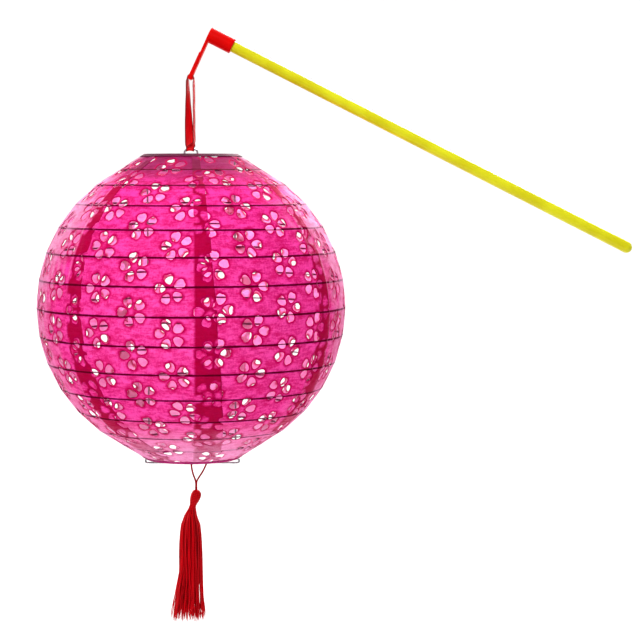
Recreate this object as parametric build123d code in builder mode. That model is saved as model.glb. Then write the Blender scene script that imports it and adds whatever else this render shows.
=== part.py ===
from build123d import *
import os
from math import cos, pi, radians, sin, tan

# A round paper lantern that hangs from a carrying stick, in millimetres, +Z up.
# The origin is on the stick's axis where the hand holds it, and the shade hangs plumb.

# Carrying stick: a plastic tube with a closed round tip and a spigot for the cap.
stick_slope = 26.9
stick_length = 290.0
stick_diameter = 7.5
stick_wall = 1.1
grip_from_tip = 60.0
spigot_diameter = 6.9
spigot_end_gap = 0.4
fit_clearance = 0.05

# Cap on the high end of the stick, with a tongue that ends in a bar for the ribbon.
cap_diameter = 10.2
cap_length = 17.3
cap_end_wall = 1.9
cap_edge_fillet = 0.4
tongue_lean = 24.7
tongue_length = 30.2
tongue_root_start = 2.2
tongue_thickness = 1.9
tongue_step_start = 13.0
tongue_step_height = 0.5
eye_bar_diameter = 3.2
eye_slot_height = 2.2
eye_cheek_width = 1.2
slot_side_clearance = 0.4

# Ribbon loop between the cap's bar and the expander's eye.
ribbon_width = 5.7
ribbon_thickness = 0.5
ribbon_drop = 46.1
ribbon_bight_width = 3.6
ribbon_clearance = 0.15
ribbon_taper = 5.0
ribbon_twist_steps = 7

# Shade: ribs at even steps of latitude on a sphere, and a straight neck to each ring.
shade_radius = 100.0
rib_count = 13
end_rib_latitude = 62.8
neck_slope = 31.0
ring_radius = 30.0
ring_wire = 1.0
rib_wire = 0.8
rib_gap = 0.15
paper_thickness = 0.2
gore_count = 7
first_seam_angle = -85.4
seam_lap_angle = 9.2
seam_joggle_angle = 0.5
gore_edge_gap = 0.06
lap_gap = 0.05

# Paper binding that is folded over each ring.
binding_thickness = 0.2
binding_reach = 3.2
binding_wire_gap = 0.05
binding_paper_gap = 0.2
binding_end_gap = 0.3

# Expander: one bent wire with an eye at the top and a hook at each ring.
expander_wire = 1.2
eye_rise = 3.7
eye_half_width = 4.2
eye_bend = 2.2
hook_bend = 1.1
hook_height = 2.5
hook_reach = 0.6
leg_clearance = 0.35
seat_gap = 0.1
wire_butt_x = -12.0
wire_butt_gap = 0.3

# Tassel and the cord that hangs it on the expander's bottom wire.
cord_diameter = 1.0
cord_bar_gap = 0.1
cord_spread_left = -0.4
cord_spread_right = 10.2
cord_join_drop = 12.0
cord_side_gap = 0.1
tassel_x = 2.4
tassel_drop = 18.2
tassel_gap = 0.5
tassel_length = 84.0
head_radius = 3.4
neck_radius = 1.8
neck_drop = 11.6
shoulder_radius = 6.4
shoulder_drop = 24.6
skirt_radius = 7.3
skirt_drop = 42.0
spread_radius = 8.4
spread_drop = 63.0
hem_radius = 12.0
tie_height = 2.2
tie_thickness = 0.5
tie_gap = 0.25

os.makedirs("parts", exist_ok=True)

up = Vector(0, 0, 1)
toward_back = Vector(0, 1, 0)
sideways = Vector(1, 0, 0)

# Points and directions of the stick and cap.
stick_way = Vector(cos(radians(stick_slope)), 0, -sin(radians(stick_slope)))
cap_mouth = stick_way * (grip_from_tip - stick_length)
cap_end = cap_mouth - stick_way * cap_length
tongue_way = Vector(-sin(radians(tongue_lean)), 0, -cos(radians(tongue_lean)))
tongue_out = Vector(-cos(radians(tongue_lean)), 0, sin(radians(tongue_lean)))
eye_bar = cap_end + tongue_way * tongue_length - tongue_out * (tongue_thickness / 2)

# Points of the hanging shade.
eye_wire = eye_bar - up * ribbon_drop
lantern_x = eye_bar.X
rib_step = 2 * end_rib_latitude / (rib_count - 1)
end_rib_radius = shade_radius * cos(radians(end_rib_latitude))
end_rib_height = shade_radius * sin(radians(end_rib_latitude))
ring_height = end_rib_height + (end_rib_radius - ring_radius) * tan(radians(neck_slope))
shade_centre = eye_wire - up * (eye_rise + ring_height)
shade_axis = Axis(shade_centre, up)


def shade_section(angle=0.0):
    """The upright half plane of the shade at an angle about its axis."""
    outward = Vector(cos(radians(angle)), sin(radians(angle)), 0)
    return Plane(origin=shade_centre, x_dir=outward, z_dir=outward.cross(up))


def neck_point(along, above, side):
    """A point beside a ring: along the neck's slope from the ring, and above it."""
    slope = radians(neck_slope)
    across = ring_radius + along * cos(slope) + above * sin(slope)
    height = ring_height - along * sin(slope) + above * cos(slope)
    return (across, side * height)


binding_inner = ring_wire / 2 + binding_wire_gap
binding_outer = binding_inner + binding_thickness
paper_above_ring = binding_inner - binding_paper_gap
paper_start = binding_outer + binding_end_gap
lap_start = binding_reach + binding_end_gap


def skin_points(depth, start):
    """Points of one face of the paper from the top ring to the bottom, at a depth."""
    radius = shade_radius - depth
    above = paper_above_ring - depth
    points = [neck_point(start, above, 1)]
    for rib in range(rib_count):
        latitude = radians(end_rib_latitude - rib * rib_step)
        points.append((radius * cos(latitude), radius * sin(latitude)))
    points.append(neck_point(start, above, -1))
    return points


# Carrying stick.
stick_radius = stick_diameter / 2
bore_radius = stick_radius - stick_wall
spigot_length = cap_length - cap_end_wall - spigot_end_gap
stick_plane = Plane(origin=cap_mouth, x_dir=stick_way, z_dir=-toward_back)
round_start = stick_length - stick_radius
with BuildPart() as carrying_stick:
    with BuildSketch(stick_plane):
        with BuildLine():
            Polyline(
                (-spigot_length, bore_radius),
                (-spigot_length, spigot_diameter / 2),
                (0, spigot_diameter / 2),
                (0, stick_radius),
                (round_start, stick_radius),
            )
            CenterArc((round_start, 0), stick_radius, 0, 90)
            Line((stick_length, 0), (stick_length - stick_wall, 0))
            CenterArc((round_start, 0), bore_radius, 0, 90)
            Line((round_start, bore_radius), (-spigot_length, bore_radius))
        make_face()
    revolve(axis=Axis(cap_mouth, stick_way))
carrying_stick.part.label = "carrying_stick"
export_step(carrying_stick.part, "parts/carrying_stick.step")

# Hook cap with its tongue and eye bar.
tongue_width = ribbon_width + 2 * (slot_side_clearance + eye_cheek_width)
tongue_plane = Plane(origin=cap_end, x_dir=toward_back, z_dir=tongue_out)
slot_start = tongue_length - eye_bar_diameter / 2 - eye_slot_height
with BuildPart() as hook_cap:
    with BuildSketch(Plane(origin=cap_end, x_dir=toward_back, z_dir=stick_way)):
        Circle(cap_diameter / 2)
    extrude(amount=cap_length)
    fillet(hook_cap.edges().filter_by(GeomType.CIRCLE), cap_edge_fillet)
    with BuildSketch(Plane(origin=cap_mouth, x_dir=toward_back, z_dir=-stick_way)):
        Circle(spigot_diameter / 2 + fit_clearance)
    extrude(amount=cap_length - cap_end_wall, mode=Mode.SUBTRACT)
    with BuildSketch(tongue_plane):
        with Locations((0, tongue_root_start)):
            Rectangle(tongue_width, tongue_length - tongue_root_start, align=(Align.CENTER, Align.MIN))
    extrude(amount=-tongue_thickness)
    with BuildSketch(tongue_plane.offset(tongue_step_height)):
        with Locations((0, tongue_step_start)):
            Rectangle(tongue_width, tongue_length - tongue_step_start, align=(Align.CENTER, Align.MIN))
    extrude(amount=-tongue_thickness - tongue_step_height)
    with BuildSketch(tongue_plane.offset(2 * tongue_step_height)):
        with Locations((0, slot_start)):
            Rectangle(
                ribbon_width + 2 * slot_side_clearance,
                tongue_length + eye_bar_diameter - slot_start,
                align=(Align.CENTER, Align.MIN),
            )
    extrude(amount=-tongue_thickness - 4 * tongue_step_height, mode=Mode.SUBTRACT)
    with BuildSketch(Plane(origin=eye_bar, x_dir=sideways, z_dir=toward_back)):
        Circle(eye_bar_diameter / 2)
    extrude(amount=tongue_width / 2, both=True)
hook_cap.part.label = "hook_cap"
export_step(hook_cap.part, "parts/hook_cap.step")

# Ribbon loop: a half turn over the bar, two legs that twist a quarter turn, and a
# half turn under the expander's eye.
bar_turn = eye_bar_diameter / 2 + ribbon_clearance + ribbon_thickness / 2
wire_turn = expander_wire / 2 + ribbon_clearance + ribbon_thickness / 2


def leg_section(share, side):
    """Plane and width of a ribbon leg, a share of the way down, on side -1 or +1."""
    drop = share * ribbon_drop
    centre = eye_bar + Vector(side * bar_turn * (1 - share), -side * wire_turn * share, -drop)
    turn = radians(90 * share)
    plane = Plane(origin=centre, x_dir=(sin(turn), cos(turn), 0), z_dir=up)
    taper = max(0.0, 1 - (ribbon_drop - drop) / ribbon_taper)
    return plane, ribbon_width + taper * (ribbon_bight_width - ribbon_width)


leg_shares = [step / ribbon_twist_steps for step in range(ribbon_twist_steps)]
leg_shares += [1 - ribbon_taper / ribbon_drop, 1.0]
with BuildPart() as hanging_ribbon:
    for side in (-1, 1):
        for share in leg_shares:
            plane, width = leg_section(share, side)
            with BuildSketch(plane):
                Rectangle(width, ribbon_thickness)
        loft(ruled=True)
    with BuildSketch(Plane(origin=eye_bar, x_dir=sideways, z_dir=up)):
        with Locations((bar_turn, 0)):
            Rectangle(ribbon_thickness, ribbon_width)
    revolve(axis=Axis(eye_bar, -toward_back), revolution_arc=180)
    with BuildSketch(Plane(origin=eye_wire, x_dir=sideways, z_dir=up)):
        with Locations((0, wire_turn)):
            Rectangle(ribbon_bight_width, ribbon_thickness)
    revolve(axis=Axis(eye_wire, -sideways), revolution_arc=180)
hanging_ribbon.part.label = "hanging_ribbon"
export_step(hanging_ribbon.part, "parts/hanging_ribbon.step")

# Expander: heights are measured from the shade's centre, on the upright section.
wire_radius = expander_wire / 2
seat_drop = binding_outer + seat_gap + wire_radius
run_height = ring_height - seat_drop
hook_height_in = run_height - hook_height
foot_height = -ring_height - seat_drop
bar_height = foot_height - hook_height
leg_x = ring_radius - binding_outer - leg_clearance - wire_radius
tip_x = ring_radius + hook_reach
eye_height = ring_height + eye_rise
right_side = [
    (tip_x, bar_height),
    (tip_x, foot_height),
    (leg_x, foot_height),
    (leg_x, hook_height_in),
    (tip_x, hook_height_in),
    (tip_x, run_height),
    (eye_half_width, run_height),
    (eye_half_width, eye_height),
]
left_side = [(-x, height) for x, height in reversed(right_side)]
right_bends = [hook_bend] * 6 + [eye_bend] * 2
wire_ends = [
    (wire_butt_x + wire_butt_gap / 2, bar_height),
    (wire_butt_x - wire_butt_gap / 2, bar_height),
]
with BuildPart() as expander:
    with BuildLine(shade_section()) as wire_path:
        FilletPolyline(
            wire_ends[0],
            *right_side,
            *left_side,
            wire_ends[1],
            radius=right_bends + right_bends[::-1],
        )
    with BuildSketch(wire_path.line ^ 0):
        Circle(wire_radius)
    sweep()
expander.part.label = "expander_wire"
export_step(expander.part, "parts/expander_wire.step")

# Rings and their paper bindings.
for ring_name, side in (("top", 1), ("bottom", -1)):
    with BuildPart() as ring:
        with BuildSketch(shade_section()):
            with Locations(neck_point(0, 0, side)):
                Circle(ring_wire / 2)
        revolve(axis=shade_axis)
    ring.part.label = f"{ring_name}_ring"
    export_step(ring.part, f"parts/{ring_name}_ring.step")
    with BuildPart() as binding:
        with BuildSketch(shade_section()):
            with Locations(neck_point(0, 0, side)):
                Circle(binding_outer)
            with BuildLine():
                Polyline(
                    neck_point(0, binding_inner, side),
                    neck_point(binding_reach, binding_inner, side),
                    neck_point(binding_reach, binding_outer, side),
                    neck_point(0, binding_outer, side),
                    close=True,
                )
            make_face()
            with Locations(neck_point(0, 0, side)):
                Circle(binding_inner, mode=Mode.SUBTRACT)
        revolve(axis=shade_axis)
    binding.part.label = f"{ring_name}_binding"
    export_step(binding.part, f"parts/{ring_name}_binding.step")

# Ribs, glued inside the paper, from the top one down.
rib_depth = paper_thickness + rib_gap + rib_wire / 2
rib_places = skin_points(rib_depth, paper_start)[1:-1]
for number, place in enumerate(rib_places, start=1):
    with BuildPart() as rib:
        with BuildSketch(shade_section()):
            with Locations(place):
                Circle(rib_wire / 2)
        revolve(axis=shade_axis)
    rib.part.label = f"rib_{number:02d}"
    export_step(rib.part, f"parts/rib_{number:02d}.step")

# Paper gores: each one ends in a flap that laps over the next.
gore_angle = 360 / gore_count
lap_face = -lap_gap
lap_top = lap_face - paper_thickness
skins = {
    "sheet": (paper_thickness, 0.0, paper_start),
    "joggle": (paper_thickness, lap_top, lap_start),
    "lap": (lap_face, lap_top, lap_start),
}
for number in range(1, gore_count + 1):
    start = first_seam_angle + (number - 1) * gore_angle
    end = start + gore_angle
    spans = {
        "sheet": (start + gore_edge_gap, end),
        "joggle": (end - seam_joggle_angle, end),
        "lap": (end - seam_joggle_angle / 2, end + seam_lap_angle),
    }
    with BuildPart() as gore:
        for piece, (inner_depth, outer_depth, skin_start) in skins.items():
            first, last = spans[piece]
            with BuildSketch(shade_section(first)):
                with BuildLine():
                    outer = skin_points(outer_depth, skin_start)
                    inner = skin_points(inner_depth, skin_start)
                    Polyline(*outer, *reversed(inner), close=True)
                make_face()
            revolve(axis=shade_axis, revolution_arc=last - first)
    gore.part.label = f"paper_gore_{number}"
    export_step(gore.part, f"parts/paper_gore_{number}.step")

# Tassel cord: a loop laid over the expander's bottom wire, its strands joining below.
bar_centre = shade_centre + up * bar_height
cord_radius = cord_diameter / 2
cord_turn = wire_radius + cord_radius + cord_bar_gap
strand_offset = cord_radius + cord_side_gap / 2
cord_foot = -(tassel_drop - tassel_gap)
cord_points = [
    (tassel_x - strand_offset, 0, cord_foot),
    (tassel_x - strand_offset - 0.1, 0, -cord_join_drop),
    (0.6, -0.7, -6.2),
    (cord_spread_left, -cord_turn, cord_turn),
    (cord_spread_right, cord_turn, cord_turn),
    (6.5, 0.7, -6.0),
    (tassel_x + strand_offset + 0.1, 0, -cord_join_drop),
    (tassel_x + strand_offset, 0, cord_foot),
]


def corner_radius(before, corner, after):
    """Largest arc that the two runs beside a corner allow."""
    back = Vector(*before) - Vector(*corner)
    on = Vector(*after) - Vector(*corner)
    turn = 180 - back.get_angle(on)
    return 0.45 * min(back.length, on.length) / tan(radians(turn / 2))


cord_radii = []
for index in range(1, len(cord_points) - 1):
    roomy = corner_radius(*cord_points[index - 1 : index + 2])
    over_bar = index in (3, 4)
    cord_radii.append(cord_turn if over_bar else roomy)
print("tassel cord bend radii, mm:", [round(radius, 1) for radius in cord_radii])

with BuildPart() as tassel_cord:
    with BuildLine(Plane(origin=bar_centre)) as cord_path:
        FilletPolyline(*cord_points, radius=cord_radii)
    with BuildSketch(cord_path.line ^ 0):
        Circle(cord_radius)
    sweep()
cord_length = sum(edge.length for edge in cord_path.edges())
cord_volume = pi * cord_radius**2 * cord_length
volume_share = tassel_cord.part.volume / cord_volume
print("tassel cord length, mm:", round(cord_length, 1), "volume share:", round(volume_share, 4))
tassel_cord.part.label = "tassel_cord"
export_step(tassel_cord.part, "parts/tassel_cord.step")

# Tassel: strands folded over the cord, tied at the neck and cut level at the hem.
tassel_top = bar_centre + Vector(tassel_x, 0, -tassel_drop)
tassel_plane = Plane(origin=tassel_top, x_dir=sideways, z_dir=-toward_back)
tassel_axis = Axis(tassel_top, up)
with BuildPart() as tassel_strands:
    with BuildSketch(tassel_plane):
        with BuildLine():
            CenterArc((0, -head_radius), head_radius, 0, 90)
            Spline(
                (head_radius, -head_radius),
                (neck_radius, -neck_drop),
                (shoulder_radius, -shoulder_drop),
                (skirt_radius, -skirt_drop),
                (spread_radius, -spread_drop),
                (hem_radius, -tassel_length),
            )
            Line((hem_radius, -tassel_length), (0, -tassel_length))
            Line((0, -tassel_length), (0, 0))
        make_face()
    revolve(axis=tassel_axis)
tassel_strands.part.label = "tassel_strands"
export_step(tassel_strands.part, "parts/tassel_strands.step")

tie_middle = neck_radius + tie_gap + tie_thickness / 2
with BuildPart() as tassel_tie:
    with BuildSketch(tassel_plane):
        with Locations((tie_middle, -neck_drop)):
            RectangleRounded(tie_thickness, tie_height, tie_thickness / 3)
    revolve(axis=tassel_axis)
tassel_tie.part.label = "tassel_tie"
export_step(tassel_tie.part, "parts/tassel_tie.step")
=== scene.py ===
"""A round paper lantern with cut-out flowers, on a ribbon under a carrying stick, with a tassel."""

import logging
from dataclasses import dataclass, field
from enum import Enum

import bpy
import numpy as np
from mathutils import Euler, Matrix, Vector


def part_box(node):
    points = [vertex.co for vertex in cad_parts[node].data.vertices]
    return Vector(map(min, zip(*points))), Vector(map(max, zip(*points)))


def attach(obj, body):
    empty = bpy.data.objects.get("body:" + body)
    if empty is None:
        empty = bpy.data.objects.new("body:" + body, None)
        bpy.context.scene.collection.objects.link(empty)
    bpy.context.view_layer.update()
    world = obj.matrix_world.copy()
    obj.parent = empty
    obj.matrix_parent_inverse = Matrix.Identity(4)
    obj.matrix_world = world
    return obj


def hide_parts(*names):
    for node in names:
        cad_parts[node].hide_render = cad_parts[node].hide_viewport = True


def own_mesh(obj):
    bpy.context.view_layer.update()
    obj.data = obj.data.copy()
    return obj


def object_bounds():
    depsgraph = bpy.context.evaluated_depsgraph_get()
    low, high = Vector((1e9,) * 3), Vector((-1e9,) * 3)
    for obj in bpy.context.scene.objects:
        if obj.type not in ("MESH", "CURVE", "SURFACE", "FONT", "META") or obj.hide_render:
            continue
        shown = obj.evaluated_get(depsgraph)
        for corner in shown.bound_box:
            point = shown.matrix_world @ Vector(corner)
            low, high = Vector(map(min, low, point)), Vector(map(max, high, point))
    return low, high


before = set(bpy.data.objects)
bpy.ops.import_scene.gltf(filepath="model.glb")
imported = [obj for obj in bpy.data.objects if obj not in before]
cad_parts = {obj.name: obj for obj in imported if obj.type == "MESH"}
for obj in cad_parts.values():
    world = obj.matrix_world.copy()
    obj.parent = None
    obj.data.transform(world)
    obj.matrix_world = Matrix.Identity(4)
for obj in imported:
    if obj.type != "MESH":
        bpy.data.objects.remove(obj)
cad_box = [list(corner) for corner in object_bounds()]

log = logging.getLogger("lantern")

MM = 0.001
Socket = bpy.types.NodeSocket
Colour = tuple[float, float, float, float]
FLOAT, VECTOR = "NodeSocketFloat", "NodeSocketVector"


# ---------------------------------------------------------------- meshes


def grid_faces(rows: int, columns: int, wrap_rows: bool = False, wrap_columns: bool = False) -> np.ndarray:
    """Quads of a grid whose point (i, j) has the number i * columns + j.

    Args:
        rows: Number of rows of points.
        columns: Number of points in a row.
        wrap_rows: Joins the last row to the first.
        wrap_columns: Joins the last column to the first.

    Returns:
        An array of shape (faces, 4).
    """
    i = np.arange(rows if wrap_rows else rows - 1)
    j = np.arange(columns if wrap_columns else columns - 1)
    row, column = (a.ravel() for a in np.meshgrid(i, j, indexing="ij"))
    next_row, next_column = (row + 1) % rows, (column + 1) % columns
    corners = (
        row * columns + column,
        row * columns + next_column,
        next_row * columns + next_column,
        next_row * columns + column,
    )
    return np.stack(corners, axis=1)


def add_object(name: str, data: bpy.types.ID) -> bpy.types.Object:
    """Puts an object with this data into the scene, at the origin."""
    holder = bpy.data.objects.new(name, data)
    bpy.context.scene.collection.objects.link(holder)
    return holder


def modify(piece: bpy.types.Object, name: str, kind: str, **settings: object) -> None:
    """Adds a modifier of a kind with these settings."""
    modifier = piece.modifiers.new(name, kind)
    for key, value in settings.items():
        setattr(modifier, key, value)


def make_mesh(
    name: str,
    points: np.ndarray,
    faces: list[np.ndarray],
    uv: np.ndarray | None = None,
    values: dict[str, np.ndarray] | None = None,
) -> bpy.types.Object:
    """Puts a mesh into the scene at the origin, shaded smooth.

    Args:
        name: The piece's name.
        points: Places in metres, shape (points, 3).
        faces: Arrays of faces, each with one number of corners.
        uv: A place on the flat material for every point, in metres.
        values: Numbers for every point, by the attribute's name.

    Returns:
        The new object.
    """
    mesh = bpy.data.meshes.new(name)
    corners = [face for array in faces for face in array.tolist()]
    mesh.from_pydata(points.tolist(), [], corners)
    mesh.shade_smooth()
    if uv is not None:
        layer = mesh.uv_layers.new(name="flat")
        at = np.empty(len(mesh.loops), dtype=np.int32)
        mesh.loops.foreach_get("vertex_index", at)
        layer.data.foreach_set("uv", uv[at].astype(np.float32).ravel())
    for key, numbers in (values or {}).items():
        attribute = mesh.attributes.new(key, "FLOAT", "POINT")
        attribute.data.foreach_set("value", numbers.astype(np.float32))
    return add_object(name, mesh)


def thicken(piece: bpy.types.Object, thickness: float, offset: float, inner_slot: int = 0) -> None:
    """Gives a sheet its thickness.

    Args:
        piece: The sheet.
        thickness: In metres.
        offset: -1 grows the sheet inwards from its faces, and 0 to both sides.
        inner_slot: How many material slots on the inner face's finish is.
    """
    wall = {"thickness": thickness, "offset": offset, "material_offset": inner_slot}
    modify(piece, "wall", "SOLIDIFY", use_even_offset=False, **wall)


def tube_faces(tubes: int, steps: int, sides: int) -> list[np.ndarray]:
    """Faces of closed tubes: the quads of their walls, and one face with all its sides at each end."""
    ring = np.arange(sides)
    ends = np.stack((ring[::-1], (steps - 1) * sides + ring))
    shift = np.arange(tubes)[:, None, None] * steps * sides
    walls = grid_faces(steps, sides, wrap_columns=True)
    return [(walls + shift).reshape(-1, 4), (ends + shift).reshape(-1, sides)]


def unit(vectors: np.ndarray) -> np.ndarray:
    """Vectors of length 1 with the same directions, on the last axis."""
    return vectors / np.linalg.norm(vectors, axis=-1, keepdims=True)


def run_along(path: np.ndarray) -> np.ndarray:
    """Length along a path, or along each of many, up to each of its points."""
    return np.cumsum(np.linalg.norm(np.diff(path, axis=-2, prepend=path[..., :1, :]), axis=-1), axis=-1)


def around(radius: np.ndarray, angle: np.ndarray, height: np.ndarray | float = 0.0) -> np.ndarray:
    """Places at a radius and an angle about the plumb line, and at a height."""
    return np.stack(np.broadcast_arrays(radius * np.cos(angle), radius * np.sin(angle), height), axis=-1)


def sweep_tubes(
    paths: np.ndarray, radii: np.ndarray, sides: int, lean: float = 0.0
) -> tuple[np.ndarray, list[np.ndarray], np.ndarray]:
    """Closed round tubes along many paths at once.

    A ring of points stands square to the path at each of its points. Its two directions are
    the path's direction crossed with a fixed one, and the path's direction crossed with that.

    Args:
        paths: Places, shape (tubes, steps, 3).
        radii: Radius at each step, shape (tubes, steps), or also at each side.
        sides: Points round a tube.
        lean: How far the fixed direction leans up from the back.

    Returns:
        The points, the faces, and a UV of turns round each tube and metres along it.
    """
    tubes, steps, _ = paths.shape
    along = unit(np.gradient(paths, axis=1))
    fixed = np.where(np.abs(along[..., 1:2]) > 0.9, (1.0, 0.0, 0.0), (0.0, 1.0, lean))
    across = unit(np.cross(along, fixed))
    third = np.cross(along, across)
    angle = np.linspace(0, 2 * np.pi, sides, endpoint=False)
    turn = across[:, :, None] * np.cos(angle)[:, None] + third[:, :, None] * np.sin(angle)[:, None]
    places = paths[:, :, None] + turn * radii.reshape(tubes, steps, -1, 1)
    turns = angle / (2 * np.pi) + np.arange(tubes)[:, None, None]
    uv = np.stack(np.broadcast_arrays(turns, run_along(paths)[:, :, None]), axis=-1)
    return places.reshape(-1, 3), tube_faces(tubes, steps, sides), uv.reshape(-1, 2)


def smooth_step(value: np.ndarray, low: float, high: float) -> np.ndarray:
    """Rises smoothly from 0 at low to 1 at high."""
    t = np.clip((value - low) / (high - low), 0, 1)
    return t * t * (3 - 2 * t)


def drifting_waves(x: np.ndarray, y: np.ndarray, seed: int, waves: int, finest: float) -> np.ndarray:
    """A smooth random field from -1 to 1: a sum of sine waves of random heading and phase.

    Args:
        x: First coordinate.
        y: Second coordinate, in the same unit.
        seed: Seed of the random draws.
        waves: Number of sine waves.
        finest: Shortest wavelength, in the coordinates' unit. The longest is four times it.

    Returns:
        The field at each point.
    """
    rng = np.random.default_rng(seed)
    total = np.zeros_like(x)
    for _ in range(waves):
        heading = rng.uniform(0, 2 * np.pi)
        length = finest * rng.uniform(1, 4)
        phase = rng.uniform(0, 2 * np.pi)
        total += np.sin(2 * np.pi * (x * np.cos(heading) + y * np.sin(heading)) / length + phase)
    return total / np.sqrt(waves) / 1.6


# ---------------------------------------------------------------- node trees


class NodeSheet:
    """Adds nodes to the tree of one material or node group, and links them."""

    def __init__(self, tree: bpy.types.NodeTree) -> None:
        """Starts on a tree."""
        self.tree = tree

    def add(self, kind: str, values: dict | None = None, **settings: object) -> bpy.types.Node:
        """Adds a node.

        Args:
            kind: The node's type name.
            values: For each input, by name or number, a constant or the socket that feeds it.
            settings: The node's own settings.

        Returns:
            The new node.
        """
        node = self.tree.nodes.new(kind)
        for name, value in settings.items():
            setattr(node, name, value)
        for key, value in (values or {}).items():
            if isinstance(value, Socket):
                self.tree.links.new(value, node.inputs[key])
            else:
                node.inputs[key].default_value = value
        return node

    def math(self, operation: str, *values: object) -> Socket:
        """Adds a Math node and returns its output."""
        return self.add("ShaderNodeMath", dict(enumerate(values)), operation=operation).outputs[0]

    def weigh(self, *parts: tuple[object, float]) -> Socket:
        """Adds up numbers, each times its own weight."""
        total = self.math("MULTIPLY", *parts[0])
        for value, weight in parts[1:]:
            total = self.math("MULTIPLY_ADD", value, weight, total)
        return total

    def mix(self, share: object, a: object, b: object) -> Socket:
        """Mixes colour a with colour b by share, and returns the colour."""
        return self.add("ShaderNodeMix", {0: share, 6: a, 7: b}, data_type="RGBA").outputs[2]

    def rise(self, value: Socket, low: float, high: float, start: float = 0.0, end: float = 1.0) -> Socket:
        """Adds a smooth Map Range from low..high to start..end, and returns its output."""
        values = {"Value": value, "From Min": low, "From Max": high, "To Min": start, "To Max": end}
        return self.add("ShaderNodeMapRange", values, interpolation_type="SMOOTHSTEP").outputs[0]

    def noise(self, vector: Socket, scale: object, detail: float = 3.0, roughness: float = 0.5) -> Socket:
        """Adds a Noise Texture and returns its value."""
        values = {"Vector": vector, "Scale": scale, "Detail": detail, "Roughness": roughness}
        return self.add("ShaderNodeTexNoise", values).outputs[0]

    def stretch(self, vector: Socket, scale: tuple[float, float, float]) -> Socket:
        """Stretches coordinates, and returns them."""
        return self.add("ShaderNodeMapping", {"Vector": vector, "Scale": scale}).outputs[0]

    def split(self, vector: Socket) -> bpy.types.NodeOutputs:
        """Splits a vector, and returns its three numbers."""
        return self.add("ShaderNodeSeparateXYZ", {0: vector}).outputs

    def reading(self, name: str) -> Socket:
        """Reads a number that the mesh stores at its points."""
        return self.add("ShaderNodeAttribute", attribute_name=name).outputs["Fac"]

    def bump(self, strength: float, distance: float, height: Socket) -> Socket:
        """Adds a Bump node and returns its normal."""
        values = {"Strength": strength, "Distance": distance, "Height": height}
        return self.add("ShaderNodeBump", values).outputs[0]

    def principled(self, values: dict) -> Socket:
        """Adds a Principled surface and returns its shader."""
        return self.add("ShaderNodeBsdfPrincipled", values).outputs[0]

    def lit_paper(self, share: float, through: Socket, values: dict) -> Socket:
        """A sheet that lets light through: a Principled surface mixed with a Translucent one.

        Args:
            share: How much of the mix is translucent.
            through: The colour of the light let through.
            values: The Principled surface's inputs.

        Returns:
            The shader.
        """
        light = {"Color": through, "Normal": values["Normal"]}
        glow = self.add("ShaderNodeBsdfTranslucent", light).outputs[0]
        parts = {0: share, 1: self.principled(values), 2: glow}
        return self.add("ShaderNodeMixShader", parts).outputs[0]

    def close(self, **values: Socket) -> bpy.types.NodeTree:
        """Ends a node group: declares its outputs, which are numbers, and links them."""
        for name in values:
            self.tree.interface.new_socket(name=name, in_out="OUTPUT", socket_type=FLOAT)
        self.add("NodeGroupOutput", values)
        return self.tree


class Coordinates(Enum):
    """Where a pattern takes its coordinates from."""

    FLAT = "flat"
    OBJECT = "Object"

    def socket(self, sheet: NodeSheet) -> Socket:
        """Adds the node that gives these coordinates to a sheet, and returns its output."""
        if self is Coordinates.FLAT:
            return sheet.add("ShaderNodeUVMap", uv_map=self.value).outputs[0]
        return sheet.add("ShaderNodeTexCoord").outputs[self.value]


class SharedEffect(Enum):
    """Effects that several finishes use, each built once as a node group."""

    FIBRES = "paper_fibres"
    DRAWN = "drawn_wire"
    MOULDED = "moulded_skin"
    TWIST = "twisted_thread"

    def start(self, **numbers: str) -> tuple[NodeSheet, bpy.types.NodeOutputs]:
        """Starts the effect's node group.

        Args:
            numbers: Socket types of its inputs besides the coordinates, by name.

        Returns:
            The group's node sheet and its inputs' sockets.
        """
        tree = bpy.data.node_groups.new(self.value, "ShaderNodeTree")
        for name, kind in {"Vector": VECTOR, **numbers}.items():
            tree.interface.new_socket(name=name, in_out="INPUT", socket_type=kind)
        sheet = NodeSheet(tree)
        return sheet, sheet.add("NodeGroupInput").outputs

    def place(self, sheet: NodeSheet, **values: object) -> bpy.types.NodeOutputs:
        """Adds the effect to a material's sheet, built the first time, and returns its outputs."""
        tree = bpy.data.node_groups.get(self.value) or BUILDERS[self]()
        return sheet.add("ShaderNodeGroup", values, node_tree=tree).outputs


def build_fibres() -> bpy.types.NodeTree:
    """Paper fibres: cloudy patches, long fibres and fine crepe waves, on coordinates in metres."""
    sheet, given = SharedEffect.FIBRES.start(Contrast=FLOAT)
    place = given["Vector"]
    clouds = sheet.noise(sheet.stretch(place, (90, 160, 90)), 1.0, 3.0, 0.6)
    bend = sheet.noise(sheet.stretch(place, (60, 60, 60)), 1.0, 2.0)
    long_way = {0: sheet.stretch(place, (170, 650, 170)), 1: bend}
    bent = sheet.add("ShaderNodeVectorMath", long_way, operation="ADD").outputs[0]
    fibres = sheet.noise(bent, 1.0, 4.0, 0.7)
    strands = sheet.noise(sheet.stretch(place, (900, 500, 900)), 1.0, 2.0, 0.6)
    together = sheet.weigh((clouds, 0.34), (fibres, 0.46), (strands, 0.20))
    scaled = sheet.math("MULTIPLY", sheet.math("SUBTRACT", together, 0.5), given["Contrast"])
    return sheet.close(Mottle=sheet.rise(scaled, -0.5, 0.5), Height=together)


def build_drawn() -> bpy.types.NodeTree:
    """Drawn wire: dull and bright patches and fine scratches, on coordinates in metres."""
    sheet, given = SharedEffect.DRAWN.start()
    patches = sheet.rise(sheet.noise(given["Vector"], 240.0, 4.0, 0.65), 0.35, 0.7)
    scratches = sheet.noise(sheet.stretch(given["Vector"], (2600, 2600, 700)), 1.0, 2.0)
    return sheet.close(Patches=patches, Height=scratches)


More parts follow.
